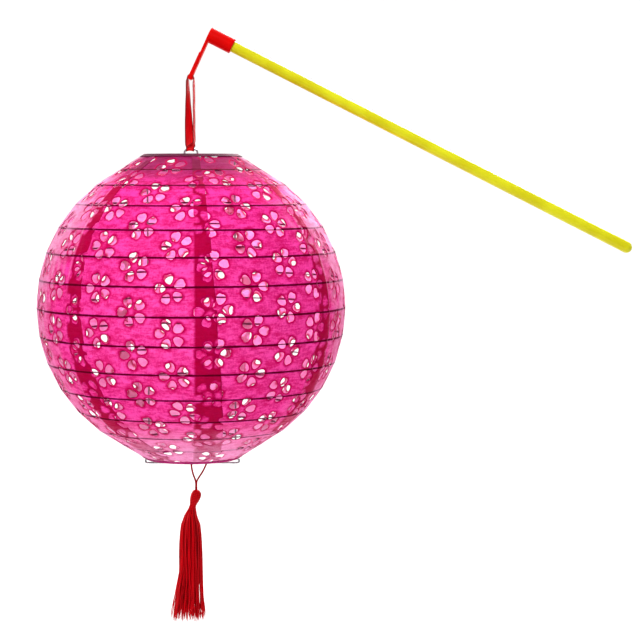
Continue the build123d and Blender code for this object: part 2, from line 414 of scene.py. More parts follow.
def build_moulded() -> bpy.types.NodeTree:
    """Moulded plastic: a soft unevenness, tiny pits, and faint scuffs, on coordinates in metres."""
    sheet, given = SharedEffect.MOULDED.start(Grain=FLOAT)
    place = given["Vector"]
    shade = sheet.noise(place, 55.0)
    scuffs = sheet.rise(sheet.noise(sheet.stretch(place, (300, 300, 900)), 1.0, 5.0, 0.7), 0.56, 0.72)
    pits = sheet.noise(place, given["Grain"], 2.0)
    return sheet.close(Scuffs=scuffs, Shade=shade, Height=sheet.weigh((shade, 0.6), (pits, 0.2)))


def build_twist() -> bpy.types.NodeTree:
    """Twisted thread: plies that wind round, on a UV whose u is turns round and v metres along."""
    sheet, given = SharedEffect.TWIST.start(Pitch=FLOAT)
    parts = sheet.split(given["Vector"])
    turns = sheet.math("DIVIDE", parts[1], given["Pitch"])
    lay = sheet.math("FRACT", sheet.math("MULTIPLY_ADD", parts[0], 2.0, turns))
    ply = sheet.math("PINGPONG", sheet.math("MULTIPLY", lay, 2.0), 1.0)
    which = {"W": sheet.math("FLOOR", parts[0])}
    tone = sheet.add("ShaderNodeTexWhiteNoise", which, noise_dimensions="1D").outputs["Value"]
    return sheet.close(Ply=ply, Tone=tone)


BUILDERS = {
    SharedEffect.FIBRES: build_fibres,
    SharedEffect.DRAWN: build_drawn,
    SharedEffect.MOULDED: build_moulded,
    SharedEffect.TWIST: build_twist,
}


# ---------------------------------------------------------------- finishes


def rgb(red: float, green: float, blue: float) -> Colour:
    """A linear colour with full alpha."""
    return (red, green, blue, 1.0)


@dataclass(frozen=True)
class Finish:
    """A named finish. Each kind of finish says what its surface is."""

    name: str

    def surface(self, sheet: NodeSheet) -> Socket:
        """Adds the finish's nodes to a sheet, and returns its shader."""
        raise NotImplementedError

    def build(self) -> bpy.types.Material:
        """Builds the material."""
        material = bpy.data.materials.new(self.name)
        material.use_nodes = True
        material.node_tree.nodes.clear()
        sheet = NodeSheet(material.node_tree)
        sheet.add("ShaderNodeOutputMaterial", {0: self.surface(sheet)})
        return material


@dataclass(frozen=True)
class Tones:
    """Colours of the tissue in one kind of light: plain, lapped, at a cut edge and over a rib."""

    dark: Colour
    light: Colour
    doubled: Colour
    cut: Colour = rgb(0.62, 0.0, 0.16)
    line: Colour = rgb(0.10, 0.0, 0.02)


@dataclass(frozen=True)
class PaperTintsAndSheen:
    """The colours of the tissue on one face, a darker band below the top ring, and the pale colour of its
    painted sheen.
    """

    reflected: Tones
    through: Tones
    # painted sheen: the pale colour mixed in where the paper is seen edge on, standing in for grazing light
    painted_sheen: Colour
    # colour of a darker band just below the top ring
    rim: Colour
    share_through: float


@dataclass(frozen=True)
class LanternPaper(Finish):
    """Thin dyed tissue that lets light through, with dark cut edges and dark lines over the ribs."""

    tints_and_sheen: PaperTintsAndSheen
    rib_step: float
    doubled_by: str
    middle_height: float
    contrast: float = 5.6
    rib_line: float = 0.00060
    cut_line: float = 0.0017

    def surface(self, sheet: NodeSheet) -> Socket:
        """The paper's shader, from masks of its fibres, rim band, painted sheen, lap, cut edges and rib
        lines.
        """
        flat = Coordinates.FLAT.socket(sheet)
        fibres = SharedEffect.FIBRES.place(sheet, Vector=flat, Contrast=self.contrast)
        height = sheet.split(Coordinates.OBJECT.socket(sheet))[2]
        above = sheet.math("SUBTRACT", height, self.middle_height)
        # painted sheen: a pale mix where the paper is seen edge on, more so higher up, standing in for
        # grazing overhead light
        painted_sheen = self.painted_sheen_mask(sheet, fibres["Mottle"], above)
        bold = sheet.rise(painted_sheen, 0.0, 1.0, 1.0, 0.3)
        cut = sheet.rise(sheet.reading("from_cut"), 0.15 * self.cut_line, self.cut_line, 0.85, 0.0)
        doubled = sheet.math("MULTIPLY", sheet.reading(self.doubled_by), 0.9)
        masks = {
            "mottle": fibres["Mottle"],
            # a darker band just below the top ring
            "rim": sheet.rise(above, 0.074, 0.093, 0.0, 0.8),
            "painted_sheen": painted_sheen,
            "doubled": sheet.math("MULTIPLY", doubled, bold),
            "cut": sheet.math("MULTIPLY", cut, bold),
            "line": sheet.math("MULTIPLY", self.rib_mask(sheet, flat), bold),
        }
        values = {
            "Base Color": self.colour(sheet, masks, self.tints_and_sheen.reflected),
            "Roughness": 0.7,
            "Specular IOR Level": 0.02,
            "Normal": sheet.bump(0.8, 0.0012, fibres["Height"]),
        }
        through = self.colour(sheet, masks, self.tints_and_sheen.through)
        return sheet.lit_paper(self.tints_and_sheen.share_through, through, values)

    def painted_sheen_mask(self, sheet: NodeSheet, mottle: Socket, above: Socket) -> Socket:
        """A mask of painted sheen where the paper is seen edge on, stronger in the upper half under the
        overhead light, and the same pale colour over the very bottom.

        Args:
            sheet: The material's sheet.
            mottle: Mask of the light fibres.
            above: Height above the shade's middle, in metres.

        Returns:
            The mask.
        """
        # painted sheen from the view's facing ratio, weighted to the upper half for the overhead light
        facing = sheet.add("ShaderNodeLayerWeight", {"Blend": 0.5}).outputs["Facing"]
        shifted = sheet.math("ADD", facing, sheet.rise(above, 0.0, 0.05, 0.0, 0.12))
        turned = sheet.math("SUBTRACT", shifted, sheet.rise(above, 0.06, 0.09, 0.0, 0.32))
        upper = sheet.rise(above, -0.03, 0.05, 0.72, 1.0)
        edge_on = sheet.math("MULTIPLY", sheet.rise(turned, 0.50, 0.88), upper)
        bottom = sheet.rise(above, -0.092, -0.062, 0.9, 0.0)
        streaks = sheet.rise(mottle, 0.0, 1.0, 0.7, 1.0)
        return sheet.math("MULTIPLY", sheet.math("MAXIMUM", edge_on, bottom), streaks)

    def rib_mask(self, sheet: NodeSheet, flat: Socket) -> Socket:
        """A mask that is 1 over each rib: the distance to the nearest whole rib step along v."""
        v = sheet.split(flat)[1]
        nearest = sheet.math("ROUND", sheet.math("DIVIDE", v, self.rib_step))
        from_rib = sheet.math("SUBTRACT", v, sheet.math("MULTIPLY", nearest, self.rib_step))
        uneven = sheet.math("ADD", sheet.noise(flat, 140.0, 2.0), 0.5)
        wide = sheet.math("MULTIPLY", uneven, self.rib_line)
        ratio = sheet.math("DIVIDE", sheet.math("ABSOLUTE", from_rib), wide)
        return sheet.rise(ratio, 0.6, 1.35, 1.0, 0.0)

    def colour(self, sheet: NodeSheet, masks: dict[str, Socket], tones: Tones) -> Socket:
        """The sheet's colour: fibres, rim band and painted sheen, then the lap, the cut edges and the rib
        lines.

        Args:
            sheet: The material's sheet.
            masks: The masks by name.
            tones: The colours in one kind of light.

        Returns:
            The colour.
        """
        colour = sheet.mix(masks["mottle"], tones.dark, tones.light)
        double = sheet.mix(masks["rim"], tones.doubled, self.tints_and_sheen.rim)
        over = {"rim": self.tints_and_sheen.rim, "painted_sheen": self.tints_and_sheen.painted_sheen, "doubled": double, "cut": tones.cut}
        for name, other in {**over, "line": tones.line}.items():
            colour = sheet.mix(masks[name], colour, other)
        return colour


@dataclass(frozen=True)
class BindingPaper(Finish):
    """A doubled strip of the same paper, folded over a ring and darker for it."""

    dark: Colour = rgb(0.03, 0.0, 0.008)
    light: Colour = rgb(0.17, 0.003, 0.05)

    def surface(self, sheet: NodeSheet) -> Socket:
        """The strip's shader, from the shared paper fibres."""
        fibres = SharedEffect.FIBRES.place(sheet, Vector=Coordinates.FLAT.socket(sheet), Contrast=3.0)
        colour = sheet.mix(fibres["Mottle"], self.dark, self.light)
        bump = sheet.bump(0.6, 0.0005, fibres["Height"])
        values = {"Base Color": colour, "Roughness": 0.75, "Specular IOR Level": 0.1, "Normal": bump}
        return sheet.lit_paper(0.25, colour, values)


@dataclass(frozen=True)
class Wire(Finish):
    """Drawn steel wire, bright or darkened, with patches of two tones and fine scratches."""

    bright: Colour
    dull: Colour
    metallic: float
    roughness: float

    def surface(self, sheet: NodeSheet) -> Socket:
        """The wire's shader, from the shared drawn skin."""
        drawn = SharedEffect.DRAWN.place(sheet, Vector=Coordinates.OBJECT.socket(sheet))
        values = {
            "Base Color": sheet.mix(drawn["Patches"], self.bright, self.dull),
            "Metallic": self.metallic,
            "Roughness": sheet.rise(drawn["Patches"], 0.0, 1.0, self.roughness, self.roughness + 0.25),
            "Normal": sheet.bump(0.3, 0.0001, drawn["Height"]),
        }
        return sheet.principled(values)


@dataclass(frozen=True)
class Plastic(Finish):
    """Moulded plastic, with faint shading in its colour, scuffs and a soft gloss."""

    deep: Colour
    bright: Colour
    roughness: float
    coat: float
    grain: float = 1800.0
    subsurface: float = 0.1

    def surface(self, sheet: NodeSheet) -> Socket:
        """The plastic's shader, from the shared moulded skin."""
        place = Coordinates.OBJECT.socket(sheet)
        skin = SharedEffect.MOULDED.place(sheet, Vector=place, Grain=self.grain)
        values = {
            "Base Color": sheet.mix(sheet.rise(skin["Shade"], 0.3, 0.7), self.deep, self.bright),
            "Roughness": sheet.rise(skin["Scuffs"], 0.0, 1.0, self.roughness, self.roughness + 0.18),
            "Specular IOR Level": 0.05,
            "Subsurface Weight": self.subsurface,
            "Subsurface Radius": (0.002, 0.0015, 0.0006),
            "Subsurface Scale": 0.5,
            "Coat Weight": self.coat,
            "Coat Roughness": 0.12,
            "Normal": sheet.bump(0.25, 0.0003, skin["Height"]),
        }
        return sheet.principled(values)


@dataclass(frozen=True)
class SatinTape(Finish):
    """Woven satin tape: fine weft ribs across it, and a firmer selvedge along each edge, whose darker colour
    is painted shade.
    """

    half_width: float
    selvedge: float = 0.0006
    weft_pitch: float = 0.00032
    dark: Colour = rgb(0.28, 0.0, 0.002)
    light: Colour = rgb(0.96, 0.0, 0.006)

    def surface(self, sheet: NodeSheet) -> Socket:
        """The tape's shader, on a UV in metres, u across the tape and v along it."""
        flat = Coordinates.FLAT.socket(sheet)
        parts = sheet.split(flat)
        rib = sheet.math("PINGPONG", sheet.math("DIVIDE", parts[1], 0.5 * self.weft_pitch), 1.0)
        edge = sheet.math("ABSOLUTE", parts[0])
        # the selvedge band raises the relief, and its darkening of the colour is painted shade
        selvedge_and_painted_shade = sheet.rise(edge, self.half_width - 1.3 * self.selvedge, self.half_width - self.selvedge)
        streaks = sheet.noise(sheet.stretch(flat, (2600, 160, 1)), 1.0)
        tone = sheet.weigh((rib, 0.35), (streaks, 0.65), (selvedge_and_painted_shade, -0.6))
        values = {
            "Base Color": sheet.mix(sheet.rise(tone, 0.15, 0.75), self.dark, self.light),
            "Roughness": 0.42,
            "Specular IOR Level": 0.15,
            "Anisotropic": 0.5,
            "Normal": sheet.bump(0.5, 0.00012, sheet.weigh((rib, 1.0), (selvedge_and_painted_shade, 1.6))),
        }
        return sheet.principled(values)


@dataclass(frozen=True)
class SilkThread(Finish):
    """Glossy twisted thread. Each thread has its own tone, and painted shade in the grooves between its
    plies.
    """

    pitch: float
    deep: Colour = rgb(0.16, 0.0, 0.002)
    bright: Colour = rgb(0.98, 0.002, 0.010)

    def surface(self, sheet: NodeSheet) -> Socket:
        """The thread's shader, on a UV whose u is turns round a thread and v metres along it."""
        twist = SharedEffect.TWIST.place(sheet, Vector=Coordinates.FLAT.socket(sheet), Pitch=self.pitch)
        # painted shade: the colour darkens into the grooves between the plies
        tone_and_groove_shade = sheet.weigh((twist["Ply"], 0.45), (twist["Tone"], 0.55))
        values = {
            "Base Color": sheet.mix(tone_and_groove_shade, self.deep, self.bright),
            "Roughness": 0.45,
            "Specular IOR Level": 0.06,
            "Normal": sheet.bump(0.5, 0.00015, twist["Ply"]),
        }
        return sheet.principled(values)


def dress(piece: bpy.types.Object, *materials: bpy.types.Material) -> None:
    """Gives a piece or a CAD node these materials, in slots."""
    piece.data.materials.clear()
    for material in materials:
        piece.data.materials.append(material)


def declare(piece: bpy.types.Object, body: str, node: str, slot: str, *materials: bpy.types.Material) -> None:
    """Dresses a piece, attaches it to the body it moves with, and hides the CAD node it stands for.

    Args:
        piece: The piece.
        body: The body it moves with.
        node: The CAD node it replaces.
        slot: Its material's slot; not used.
        materials: Its materials, in slots.
    """
    dress(piece, *materials)
    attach(piece, body)
    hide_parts(node)
    log.info("%s: %d faces", piece.name, len(piece.data.polygons))


# ---------------------------------------------------------------- the shade


class Lay(Enum):
    """Which way up a gore was cut from the roll."""

    UPRIGHT = 1.0
    TURNED = -1.0


@dataclass
class FlowerCut:
    """The die that cuts five-petal flowers: rows of flowers, with every other column a half pitch on."""

    column_pitch: float = 24.0 * MM
    row_pitch: float = 27.2 * MM
    petals: int = 5
    petal_centre: float = 6.3 * MM
    petal_half_length: float = 3.4 * MM
    petal_half_width: float = 2.75 * MM
    petal_flare: float = 0.26
    notch_depth: float = 0.45 * MM
    place_wander: float = 0.35 * MM
    turn_wander: float = 0.10
    size_wander: float = 0.05
    reach: int = 12

    def outside(self, x: np.ndarray, y: np.ndarray, lay: Lay, seed: int) -> np.ndarray:
        """How far each point of the flat sheet is outside the nearest petal, negative inside it.

        The nearest flower is found by rounding to the lattice, and its nearest petal by rounding
        the angle. A petal is an ellipse whose width grows outwards, with a notch at its end.

        Args:
            x: Place across the sheet, in metres.
            y: Place along the sheet.
            lay: Which way up the sheet was laid.
            seed: Seed of the small differences between flowers.

        Returns:
            Roughly the distance, in metres.
        """
        x, y = lay.value * x, lay.value * y
        column = np.round(x / self.column_pitch)
        best = np.full(x.shape, np.inf)
        for side in (-1, 0, 1):
            near = column + side
            half = 0.5 * (np.mod(near, 2) == 0)
            row = np.round(y / self.row_pitch - half)
            best = np.minimum(best, self.one_flower(x, y, near, row, half, seed))
        return best

    def one_flower(
        self, x: np.ndarray, y: np.ndarray, column: np.ndarray, row: np.ndarray, half: np.ndarray, seed: int
    ) -> np.ndarray:
        """Distance outside the flower at a column and row of the lattice."""
        rng = np.random.default_rng(seed)
        count = 2 * self.reach + 1
        table = rng.uniform(-1, 1, (count, count, 3 + 2 * self.petals))
        at = table[
            np.clip(column + self.reach, 0, count - 1).astype(int),
            np.clip(row + self.reach, 0, count - 1).astype(int),
        ]
        dx = x - column * self.column_pitch - at[..., 0] * self.place_wander
        dy = y - (row + half) * self.row_pitch - at[..., 1] * self.place_wander
        angle = np.arctan2(dy, dx) - at[..., 2] * self.turn_wander
        step = 2 * np.pi / self.petals
        petal = np.round(angle / step)
        which = np.mod(petal, self.petals).astype(int)
        own = np.take_along_axis(at, 3 + which[..., None], axis=-1)[..., 0]
        lean = np.take_along_axis(at, 3 + self.petals + which[..., None], axis=-1)[..., 0]
        local = angle - petal * step - 0.06 * lean
        radius = np.hypot(dx, dy)
        size = 1 + self.size_wander * own
        along = (radius * np.cos(local) - self.petal_centre) / (self.petal_half_length * size)
        across = radius * np.sin(local) / (self.petal_half_width * size)
        across = across / (1 + self.petal_flare * np.clip(along, -1.2, 1.2))
        notch = self.notch_depth * np.exp(-((across / 0.28) ** 2)) * (along > 0)
        return (np.hypot(along, across) - 1) * self.petal_half_width + notch


def cut_grid(
    grid: np.ndarray, value: np.ndarray
) -> tuple[np.ndarray, np.ndarray, np.ndarray, np.ndarray]:
    """Cuts holes into a grid where a value is negative, with the holes' edges on the value's zero.

    Each grid edge that crosses zero has one end nearer to the crossing, and that end moves onto
    it. A cell with one corner left in the hole keeps the triangle of its other three.

    Args:
        grid: Places or other numbers of the grid, shape (rows, columns, n).
        value: The value at each point, shape (rows, columns).

    Returns:
        The moved numbers, the quads, the triangles, and which points are on an edge of a hole.
    """
    nearest = np.full(value.shape, 0.5 + 1e-9)
    moved = grid.copy()
    on_edge = np.zeros(value.shape, dtype=bool)
    for axis, step in ((1, 1), (1, -1), (0, 1), (0, -1)):
        there = np.roll(value, -step, axis=axis)
        other = np.roll(grid, -step, axis=axis)
        crosses = value * there < 0
        np.moveaxis(crosses, axis, 0)[-1 if step > 0 else 0] = False
        share = np.where(crosses, value / np.where(crosses, value - there, 1), 1.0)
        closer = crosses & (share < nearest)
        nearest[closer] = share[closer]
        moved[closer] = (grid + (other - grid) * share[..., None])[closer]
        on_edge |= closer
    state = np.where(on_edge, 0, np.sign(value)).ravel()
    quads = grid_faces(*value.shape)
    corner = state[quads]
    gone = corner < 0
    kept = (corner > 0).any(axis=1) | (value.ravel()[quads].mean(axis=1) > 0)
    whole = ~gone.any(axis=1) & kept
    three = (gone.sum(axis=1) == 1) & kept
    order = (gone[three].argmax(axis=1)[:, None] + np.array([1, 2, 3])) % 4
    triangles = np.take_along_axis(quads[three], order, axis=1)
    return moved.reshape(-1, grid.shape[2]), quads[whole], triangles, on_edge.ravel()


@dataclass
class Shade:
    """The paper shade: gores over hoop ribs, with a ring and its binding at each end."""

    gore_count: int = 7
    first_seam: float = np.radians(-85.4)
    rib_count: int = 13
    end_latitude: float = np.radians(62.8)
    neck_slope: float = np.radians(31.0)
    ring_radius: float = 30.0 * MM
    paper: float = 0.2 * MM
    rib_gap: float = 0.15 * MM
    paper_above_ring: float = 0.35 * MM
    paper_start: float = 1.05 * MM
    lap_start: float = 3.5 * MM
    lap_lift: float = 0.25 * MM
    lap_width: float = 13.4 * MM
    lap_taper: float = 0.0686
    widest_lap: float = 18.0 * MM
    joggle: float = np.radians(0.8)
    edge_gap: float = np.radians(0.06)
    panel_rows: int = 18
    sheet_columns: int = 90
    lap_columns: int = 15
    wrinkle: float = 0.42 * MM
    binding_lip: float = 3.1 * MM
    slips: tuple[tuple[float, float], ...] = (
        (-6.65, 4.9), (5.7, 16.9), (-0.65, 10.2), (-4.3, 11.9), (-0.65, 22.1), (5.7, 16.9), (5.7, 16.9),
    )
    flowers: FlowerCut = field(default_factory=FlowerCut)

    def __post_init__(self) -> None:
        """Reads the shade's centre and size from the frame, and works out its outline."""
        low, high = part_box("rib_07")
        ring_low, ring_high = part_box("top_ring")
        self.centre = np.array(((low.x + high.x) / 2, 0.0, (low.z + high.z) / 2))
        self.radius = (high.x - low.x) / 2 + self.paper + self.rib_gap
        self.ring_height = (ring_low.z + ring_high.z) / 2 - self.centre[2]
        self.rib_step = 2 * self.end_latitude / (self.rib_count - 1)
        self.rib_run = 2 * self.radius * np.sin(self.rib_step / 2)
        latitudes = self.end_latitude - self.rib_step * np.arange(self.rib_count)
        ribs = np.stack((self.radius * np.cos(latitudes), self.radius * np.sin(latitudes)), axis=1)
        top = self.neck_place(self.paper_start, self.paper_above_ring)
        outline = np.vstack((top, ribs, top * (1, -1)))
        runs = run_along(outline)
        self.outline = outline
        self.runs = runs[(self.rib_count + 1) // 2] - runs

    def neck_place(self, along: np.ndarray | float, above: np.ndarray | float) -> np.ndarray:
        """Radius and height of a point beside the top ring, along the neck's slope and above it."""
        across = self.ring_radius + along * np.cos(self.neck_slope) + above * np.sin(self.neck_slope)
        height = self.ring_height - along * np.sin(self.neck_slope) + above * np.cos(self.neck_slope)
        return np.array((across, height))

    def rows(self) -> tuple[np.ndarray, np.ndarray]:
        """Where the grid's rows are along the paper, from the equator, and each one's place in its panel."""
        steps = np.arange(self.panel_rows) / self.panel_rows
        panels = self.runs[:-1, None] + (self.runs[1:] - self.runs[:-1])[:, None] * steps
        places = np.broadcast_to(steps, panels.shape)
        return np.append(panels.ravel(), self.runs[-1]), np.append(places.ravel(), 1.0)

    def profile(self, run: np.ndarray) -> tuple[np.ndarray, np.ndarray, np.ndarray, np.ndarray]:
        """The outline at runs along the paper.

        Args:
            run: Metres along the paper, zero at the equator and positive above it.

        Returns:
            Radius, height, and the outward normal's radial and upward parts.
        """
        known = np.hstack((self.outline, np.gradient(self.outline, self.runs, axis=0)))
        falling = self.runs[::-1]
        radius, height, outward, upward = (np.interp(run, falling, column[::-1]) for column in known.T)
        size = np.hypot(outward, upward)
        return radius, height, upward / size, -outward / size

    def surface(self, angle: np.ndarray, run: np.ndarray, panel: np.ndarray, lift: np.ndarray) -> np.ndarray:
        """Places on the paper.

        The outline turned about the plumb line, plus a lift along its normal. The lift holds
        upright wrinkles that fade out at each rib, where the paper is glued down.

        Args:
            angle: Angle about the plumb line.
            run: Metres along the paper.
            panel: Place between two ribs, from 0 to 1.
            lift: Extra height off the outline.

        Returns:
            Places in metres, with one more axis than angle.
        """
        radius, height, out, up = self.profile(run)
        free = np.sin(np.pi * np.clip(panel, 0, 1)) ** 1.5
        crowded = (radius / self.radius) ** 2
        ripple = crowded * drifting_waves(angle * self.radius, run * 0.35, 11, 9, 5.0 * MM)
        right, back = np.cos(angle) * self.radius, np.sin(angle) * self.radius
        slack = drifting_waves(right, back + run, 12, 6, 26.0 * MM)
        off = lift + free * self.wrinkle * (0.65 * ripple + 0.5 * slack)
        return self.centre + around(radius + off * out, angle, height + off * up)

    def cut_value(self, gore: int, angle: np.ndarray, run: np.ndarray) -> np.ndarray:
        """Distance outside the nearest petal of a gore's own cut-outs, at places on the shade."""
        pitch = 2 * np.pi / self.gore_count
        middle = self.first_seam + (gore - 0.5) * pitch
        radius = self.profile(run)[0]
        lay = Lay.TURNED if gore % 2 == 0 or gore == self.gore_count else Lay.UPRIGHT
        across = (np.mod(angle - middle + np.pi, 2 * np.pi) - np.pi) * radius
        right, up = self.slips[gore - 1]
        return self.flowers.outside(across - right * MM, run - up * MM, lay, 40 + gore)

    def build_gore(self, gore: int) -> bpy.types.Object:
        """Builds one gore: a sheet between two seams with a lap flap, cut through by its flowers."""
        pitch = 2 * np.pi / self.gore_count
        start = self.first_seam + (gore - 1) * pitch
        end = start + pitch
        row_run, row_panel = self.rows()
        lap = np.minimum(self.lap_width - self.lap_taper * row_run, self.widest_lap)
        lap = (lap + 0.25 * MM * np.sin(row_run / (7 * MM) + gore)) / self.profile(row_run)[0]
        sheet = np.linspace(start + self.edge_gap, end, self.sheet_columns + 1)
        flap = end + (np.arange(1, self.lap_columns + 1) / self.lap_columns) * lap[:, None]
        angle = np.concatenate((np.broadcast_to(sheet, (len(lap), len(sheet))), flap), axis=1)
        numbers = np.stack(np.broadcast_arrays(angle, row_run[:, None], row_panel[:, None]), axis=-1)
        run = numbers[..., 1]
        top_room = self.runs[0] - (self.lap_start - self.paper_start)
        short = (np.abs(run) > top_room) & (angle > end - self.joggle)
        value = np.where(short, -0.5 * MM, self.cut_value(gore, angle, run))
        moved, quads, triangles, on_edge = cut_grid(numbers, value)
        angle, run, panel = moved.T
        lift = self.lap_lift * smooth_step(angle, end - 1.5 * self.joggle, end - 0.5 * self.joggle)
        places = self.surface(angle, run, panel, lift)
        used = np.zeros(len(places), dtype=bool)
        used[quads] = True
        used[triangles] = True
        number = np.cumsum(used) - 1
        over, under = (
            smooth_step(self.cut_value((gore + step) % self.gore_count + 1, angle, run), -0.1 * MM, 0.5 * MM)
            for step in (0, -2)
        )
        soft = 0.002
        covered = start + np.interp(run, row_run[::-1], lap[::-1])
        values = {
            "from_cut": np.where(on_edge, 0.0, np.clip(self.cut_value(gore, angle, run), 0, 2 * MM)),
            "lapped_over": over * smooth_step(angle, end - soft, end + soft),
            "lapped_under": under * (1 - smooth_step(angle, covered - soft, covered + soft)),
        }
        uv = np.stack(((angle - (start + end) / 2) * self.profile(run)[0], run), axis=1)
        return make_mesh(
            f"cut_paper_gore_{gore}",
            places[used],
            [number[quads][:, ::-1], number[triangles][:, ::-1]],
            uv[used],
            {key: numbers[used] for key, numbers in values.items()},
        )

    def dress_gores(self) -> None:
        middle = float(self.centre[2])
        outer, inner = (
            LanternPaper(f"lantern_paper_{face}", tints_and_sheen, self.rib_run, doubled_by, middle).build()
            for face, tints_and_sheen, doubled_by in (
                ("outside", OUTSIDE_TINTS_AND_SHEEN, "lapped_over"),
                ("inside", INSIDE_TINTS_AND_SHEEN, "lapped_under"),
            )
        )
        for gore in range(1, self.gore_count + 1):
            piece = self.build_gore(gore)
            thicken(piece, self.paper, -1.0, inner_slot=1)
            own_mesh(piece)
            declare(piece, "shade", f"paper_gore_{gore}", "lantern_paper", outer, inner)

    def build_binding(self, side: int) -> bpy.types.Object:
        """Builds one binding: a strip that wraps the ring and lies on the neck, with a wavy free edge.

        Args:
            side: 1 for the top ring and -1 for the bottom one.

        Returns:
            The strip, in the middle of its thickness.
        """
        turns = 240
        angle = np.linspace(0, 2 * np.pi, turns, endpoint=False)
        wrap = np.linspace(-0.9 * np.pi, 0.5 * np.pi, 11)
        wrap_radius = 0.65 * MM
        lip = np.linspace(0, 1, 8)[1:]
        along = np.concatenate((wrap_radius * np.cos(wrap), np.zeros(len(lip))))
        above = np.concatenate((wrap_radius * np.sin(wrap), np.full(len(lip), wrap_radius)))
        waver = 0.035 * np.sin(5 * angle + side) + 0.03 * np.sin(13 * angle + 2 * side)
        along = np.repeat(-along[:, None], turns, axis=1)
        along[len(wrap):] = lip[:, None] * (self.binding_lip * (1 + waver))
        wave = 0.05 * MM * drifting_waves(angle * self.ring_radius, 0 * angle, 21 + side, 7, 3.0 * MM)
        above = above[:, None] + wave * np.concatenate((np.zeros(len(wrap)), lip))[:, None]
        place = np.concatenate((np.linspace(-1.4, 0, len(wrap)) * MM, lip * self.binding_lip))
        radius, height = self.neck_place(along, above)
        points = self.centre + around(radius, angle, side * height)
        faces = grid_faces(len(place), turns, wrap_columns=True)[:, ::side]
        uv = np.stack(np.broadcast_arrays(angle * self.ring_radius, place[:, None]), axis=-1)
        name = "top_folded_binding" if side > 0 else "bottom_folded_binding"
        return make_mesh(name, points.reshape(-1, 3), [faces], uv.reshape(-1, 2))

    def dress_bindings(self) -> None:
        """Builds and dresses both bindings: one paper, with a paler copy for the bottom one that is painted
        light.
        """
        deep = BindingPaper("binding_paper").build()
        # painted light: the bottom binding gets a paler copy of the same binding paper
        pale = BindingPaper("binding_paper_painted_lit", rgb(0.26, 0.0, 0.07), rgb(0.72, 0.04, 0.28)).build()
        for side, end, body, paper in ((1, "top", "shade", deep), (-1, "bottom", "bottom_hoop", pale)):
            piece = self.build_binding(side)
            thicken(piece, self.paper, 0.0)
            declare(piece, body, f"{end}_binding", "binding_paper", paper)

    def dress_wires(self) -> None:
        """Dresses the ribs, the rings and the expander, which keep their CAD shapes."""
        ribs = Wire("rib_wire", rgb(0.24, 0.015, 0.09), rgb(0.12, 0.004, 0.04), 0.0, 0.45).build()
        rings = Wire("ring_wire", rgb(0.32, 0.30, 0.32), rgb(0.14, 0.12, 0.14), 1.0, 0.35).build()
        bright = Wire("expander_wire", rgb(0.42, 0.40, 0.42), rgb(0.20, 0.18, 0.20), 1.0, 0.3).build()
        for rib in range(1, self.rib_count + 1):
            dress(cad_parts[f"rib_{rib:02d}"], ribs)
        for end in ("top", "bottom"):
            dress(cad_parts[f"{end}_ring"], rings)
        dress(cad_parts["expander_wire"], bright)


REFLECTED_EDGES = {"cut": rgb(0.62, 0.0, 0.10), "line": rgb(0.15, 0.0, 0.02)}
OUTSIDE_TINTS_AND_SHEEN = PaperTintsAndSheen(
    Tones(rgb(0.58, 0.0, 0.11), rgb(1.0, 0.012, 0.34), rgb(0.50, 0.0, 0.045), **REFLECTED_EDGES),
    Tones(rgb(0.95, 0.10, 0.44), rgb(1.0, 0.34, 0.78), rgb(0.62, 0.02, 0.16)),
    # painted sheen colour
    painted_sheen=rgb(0.95, 0.50, 0.75),
    # darker band just below the top ring
    rim=rgb(0.24, 0.02, 0.09),
    share_through=0.42,
)
INSIDE_TINTS_AND_SHEEN = PaperTintsAndSheen(
    Tones(rgb(1.0, 0.66, 0.88), rgb(1.0, 0.84, 1.0), rgb(1.0, 0.64, 0.88), **REFLECTED_EDGES),
    Tones(rgb(1.0, 0.78, 0.94), rgb(1.0, 0.95, 1.0), rgb(1.0, 0.74, 0.90)),
    # painted sheen colour
    painted_sheen=rgb(1.0, 0.84, 0.97),
    # darker band just below the top ring
    rim=rgb(0.80, 0.30, 0.55),
    share_through=0.50,
)


# ---------------------------------------------------------------- stick, cap and ribbon


@dataclass
class Carrier:
    """The carrying stick and the cap on its end, both from their CAD shapes, the cap with softened edges."""

    edge_round: float = 0.22 * MM
    merge_distance: float = 0.002 * MM
    flat_angle: float = np.radians(0.5)
    sharp_angle: float = np.radians(50)
    rounded_angle: float = np.radians(35)

    def soften(self, node: str, name: str) -> bpy.types.Object:
        """Copies a CAD node, merges its loose triangles and rounds its sharp edges.

        Args:
            node: The CAD node.
            name: The new piece's name.

        Returns:
            The new piece.
        """
        piece = add_object(name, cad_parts[node].data.copy())
        modify(piece, "weld", "WELD", merge_threshold=self.merge_distance)
        modify(piece, "planar", "DECIMATE", decimate_type="DISSOLVE", angle_limit=self.flat_angle)
        corners = {"limit_method": "ANGLE", "angle_limit": self.rounded_angle}
        modify(piece, "round", "BEVEL", width=self.edge_round, segments=3, **corners)
        depsgraph = bpy.context.evaluated_depsgraph_get()
        finished = bpy.data.meshes.new_from_object(piece.evaluated_get(depsgraph))
        piece.modifiers.clear()
        piece.data = finished
        finished.shade_smooth()
        finished.set_sharp_from_angle(angle=self.sharp_angle)
        return piece

    def build(self) -> None:
        """Builds and dresses the stick and the cap."""
        yellow = Plastic(
            "stick_plastic", rgb(0.60, 0.55, 0.004), rgb(0.70, 0.69, 0.012), roughness=0.24, coat=0.3
        ).build()
        red = Plastic(
            "cap_vinyl", rgb(0.56, 0.0, 0.0), rgb(0.76, 0.001, 0.0), roughness=0.4, coat=0.0, grain=2600.0
        ).build()
        dress(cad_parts["carrying_stick"], yellow)
        cap = self.soften("hook_cap", "moulded_hook_cap")
        declare(cap, "stick", "hook_cap", "cap_vinyl", red)


